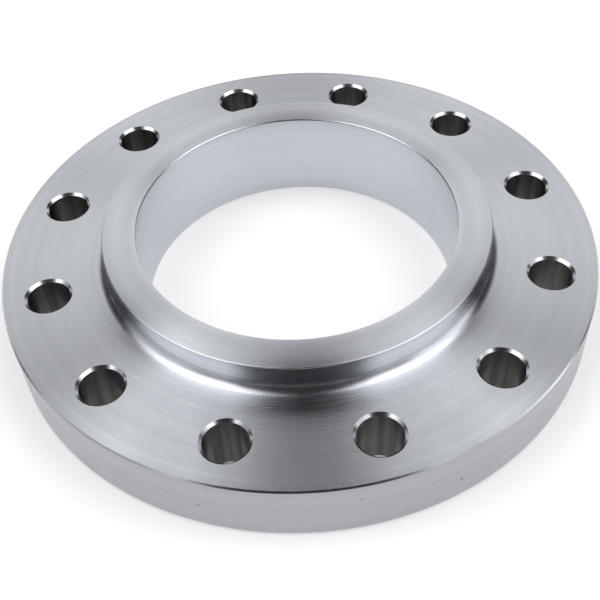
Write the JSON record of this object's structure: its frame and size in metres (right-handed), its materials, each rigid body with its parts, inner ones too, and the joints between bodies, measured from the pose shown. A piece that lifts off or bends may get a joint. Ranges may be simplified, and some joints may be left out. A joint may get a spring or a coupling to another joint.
{
  "type": "slip-on pipe flange",
  "caption": "Forged and turned steel slip-on pipe flange with a low straight hub, a raised gasket face, a plain round bore and a circle of bolt holes.",
  "frame": {"origin": "centre of the raised gasket face, on the bore's axis", "axes": "+Z along the pipe's axis from the gasket face towards the hub; +X and +Y midway between bolt holes, which straddle both axes"},
  "size_m": [0.3174, 0.3174, 0.0523],
  "materials": {
    "machined_steel": "bare forged carbon steel, lathe-turned all over, bright and dry"
  },
  "bodies": {
    "root": {"slip_on_flange": "machined_steel"}
  },
  "joints": []
}
